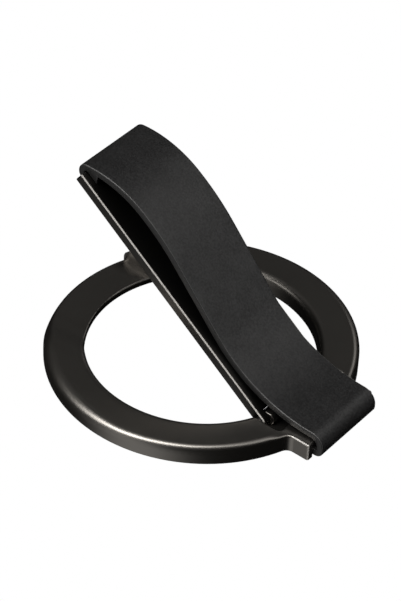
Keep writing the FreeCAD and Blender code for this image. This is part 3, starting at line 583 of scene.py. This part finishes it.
def glue_film():
    """Pale film that holds the pad."""
    material, net, place = new_material("glue_film")
    cloud = grain(net, place, *FILM_GRAIN)
    close_material(net, {
        "Base Color": tint(net, cloud, *FILM),
        "Roughness": spread(net, cloud, *FILM_ROUGH),
    })
    return material


def bare_metal(name, tones, stretch):
    """Plain metal with drawn or turned lines."""
    material, net, place = new_material(name)
    lines = net.add("ShaderNodeMapping", {"Vector": place, "Scale": stretch}).outputs[0]
    drawn = grain(net, lines, *DRAWN_GRAIN)
    close_material(net, {
        "Base Color": tint(net, drawn, *tones),
        "Metallic": 1.0,
        "Roughness": spread(net, drawn, *DRAWN_ROUGH),
        "Normal": relief(net, drawn, *DRAWN_RELIEF),
    })
    return material


def dress(material, *names):
    """One material on several CAD nodes."""
    for name in names:
        mesh = nodes[name].data
        mesh.materials.clear()
        mesh.materials.append(material)


# Strap: one band along a line of tangent arcs in the side view


def strap_bends():
    """Centre, upper radius, first and last slope of each bend, from the lug to the arm."""
    steep, brink, shallow = tilt + LIFT, tilt - CREST, tilt - DIP
    nose, chin = STRAP_THICK + NOSE_ROUND, STRAP_THICK + CHIN_ROUND
    turn = STRAP_THICK + TONGUE / 2
    top = RING_TOP + LUG_GAP + STRAP_THICK
    chin_at = Vector((strap_face - chin, strap_low + chin))
    nose_at = Vector((strap_face - nose, top - nose))
    turn_z = arm_half - TONGUE / 2
    turn_x = (strap_back + turn - on_arm(0, turn_z).x) / math.cos(tilt)
    turn_at = on_arm(turn_x, turn_z)
    over_arm = on_arm(0, arm_half + STRAP_THICK + STRAP_GAP).dot(outward(tilt))
    rise = (Vector((nose_at.x, top)).dot(outward(tilt)) - over_arm) / (1 - math.cos(tilt))
    rise_at = Vector((nose_at.x, top + rise))
    rise_end = rise_at - rise * outward(steep)
    crest_start = turn_at + turn * outward(shallow) - CREST_RADIUS * (outward(shallow) - outward(brink))
    reach = crest_start - rise_end
    fan = outward(brink) - outward(steep)
    bow = cross(reach, heading(steep)) / cross(fan, heading(steep))
    run = cross(reach, fan) / cross(heading(steep), fan)
    bow_at = rise_end + run * heading(steep) - bow * outward(steep)
    crest_at = bow_at + (bow - CREST_RADIUS) * outward(brink)
    return [
        (chin_at, chin, math.pi, math.pi / 2),
        (nose_at, nose, math.pi / 2, 0.0),
        (rise_at, -rise, 0.0, steep),
        (bow_at, bow, steep, brink),
        (crest_at, CREST_RADIUS, brink, shallow),
        (turn_at, turn, shallow, tilt - math.pi),
    ]


# Stations along the strap: greatest step and turn, and the bend that ends in the foot

STATION_STEP = 0.35 * MM
STATION_TURN = math.radians(5)
STEP_SLACK = 0.01
CREST_BEND = 4


def straight_run(start, end, slope):
    """Stations of a straight run, after its first."""
    count = math.ceil((end - start).length / STATION_STEP - STEP_SLACK)
    return [(start.lerp(end, number / count), slope, STRAP_THICK) for number in range(1, count + 1)]


def bend_slopes(radius, first, last):
    """Slopes at the stations of one bend, after its first."""
    turn = last - first
    count = max(math.ceil(abs(radius * turn) / STATION_STEP), math.ceil(abs(turn) / STATION_TURN))
    return [first + turn * step / count for step in range(1, count + 1)]


def foot_depth(point, slope):
    """Depth of the strap down to the arm, where its foot fills the corner."""
    plate = on_arm(0, arm_half + FOOT_GAP).dot(outward(tilt))
    filled = (point.dot(outward(tilt)) - plate) / math.cos(tilt - slope)
    return max(filled, STRAP_THICK)


def strap_stations():
    """Points of the upper face with their slopes and the depth to the lower face."""
    bends = strap_bends()
    foot_from = bends[-1][0].dot(heading(tilt)) - FOOT
    stations = [(Vector((lug_end - LUG_TAIL, strap_low)), math.pi, STRAP_THICK)]
    for number, (centre, radius, first, last) in enumerate(bends):
        stations += straight_run(stations[-1][0], centre + radius * outward(first), first)
        in_foot = False
        for slope in bend_slopes(radius, first, last):
            point = centre + radius * outward(slope)
            lower = point - STRAP_THICK * outward(slope)
            depth = STRAP_THICK
            if number == CREST_BEND and lower.dot(heading(tilt)) > foot_from:
                if not in_foot:
                    stations.append((point, slope, STRAP_THICK))
                in_foot = True
                depth = foot_depth(point, slope)
            stations.append((point, slope, depth))
    turn_end = stations[-1][0]
    tail_end = turn_end + ARM_TAIL * heading(tilt - math.pi)
    return stations + straight_run(turn_end, tail_end, tilt - math.pi)


# Section of the strap: rounding of its edges, and steps round them and across a face

EDGE_ROUND = 0.28 * MM
EDGE_STEPS = 5
FACE_STEPS = 24


def strap_section(depth):
    """Rounded section as (across, below the upper face) pairs."""
    rim = EDGE_ROUND
    side = strap_half - rim
    corners = [
        (side, rim, 90.0, 0),
        (side, depth - rim, 0.0, -1),
        (-side, depth - rim, -90.0, 0),
        (-side, rim, -180.0, 1),
    ]
    ring = []
    for across, below, start, face in corners:
        for step in range(EDGE_STEPS + 1):
            angle = math.radians(start - 90.0 * step / EDGE_STEPS)
            ring.append((across + rim * math.cos(angle), below - rim * math.sin(angle)))
        if face:
            from_side, level = ring[-1]
            for step in range(1, FACE_STEPS):
                ring.append((from_side + face * 2 * side * step / FACE_STEPS, level))
    return ring


# Faces of the strap: numbers of their materials, and the sideways lean of those that carry a painted
# highlight along the edges

LEATHER_FACE, PAINTED_FACE, HIGHLIGHT_FACE = 0, 1, 2
HIGHLIGHT_LEAN = (0.3, 0.6)
MERGE = 0.001 * MM
QUAD = 4


def strap_paint(face):
    """Number of the material on one face of the strap."""
    if HIGHLIGHT_LEAN[0] < abs(face.normal.y) < HIGHLIGHT_LEAN[1]:
        return HIGHLIGHT_FACE
    if abs(face.calc_center_median().y) > strap_half - EDGE_ROUND:
        return PAINTED_FACE
    return LEATHER_FACE


def strap_mesh():
    """Closed band with rounded edges."""
    build = bmesh.new()
    rings = []
    for point, slope, depth in strap_stations():
        ring = []
        for across, below in strap_section(depth):
            place = point - below * outward(slope)
            ring.append(build.verts.new((place.x, across, place.y)))
        rings.append(ring)
    size = len(rings[0])
    for first, second in zip(rings, rings[1:]):
        for number in range(size):
            following = (number + 1) % size
            build.faces.new((first[number], first[following], second[following], second[number]))
    build.faces.new(reversed(rings[0]))
    build.faces.new(rings[-1])
    bmesh.ops.remove_doubles(build, verts=build.verts, dist=MERGE)
    bmesh.ops.recalc_face_normals(build, faces=build.faces)
    for face in build.faces:
        face.smooth = len(face.verts) <= QUAD
        face.material_index = strap_paint(face)
    mesh = bpy.data.meshes.new("strap_band")
    build.to_mesh(mesh)
    build.free()
    return mesh


def make_strap():
    """Strap band built along its path, in place of the CAD strap."""
    mesh = strap_mesh()
    mesh.materials.append(strap_leather())
    mesh.materials.append(matte_skin("strap_edge", *EDGE_PAINT))
    # The strap's rounded edges carry a painted highlight
    mesh.materials.append(matte_skin("strap_edge_highlight", *EDGE_HIGHLIGHT_TONE))
    strap = bpy.data.objects.new("strap_band", mesh)
    bpy.context.scene.collection.objects.link(strap)
    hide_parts("strap")
    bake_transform(strap)


def dress_pieces():
    """Materials of the CAD pieces."""
    dress(coated_metal("gunmetal", GUNMETAL, ring_wear_and_glint, ring_painted_shade, ring_normal), "ring_housing")
    dress(coated_metal("arm_coat", ARM_COAT, arm_wear_and_glint, arm_painted_shade), "arm_plate", "arm_rivets")
    dress(matte_skin("soft_rubber", *RUBBER), "base_pad")
    dress(matte_skin("black_oxide", *BLACK_OXIDE), "washer_front", "washer_back")
    dress(glue_film(), "pad_adhesive")
    dress(bare_metal("nickel", NICKEL, EVEN), "magnets_front", "magnets_back")
    steel = bare_metal("steel", STEEL, DRAWN_STEEL)
    dress(steel, "yoke_front", "yoke_back", "keeper_front", "keeper_back")
    dress(steel, "strap_clamp", "clamp_screws", "hinge_pin")
    dress(bare_metal("bronze", BRONZE, DRAWN_BRONZE), "bush_front", "bush_back")


make_camera()
make_world()
make_floor()
set_view()
dress_pieces()
make_strap()
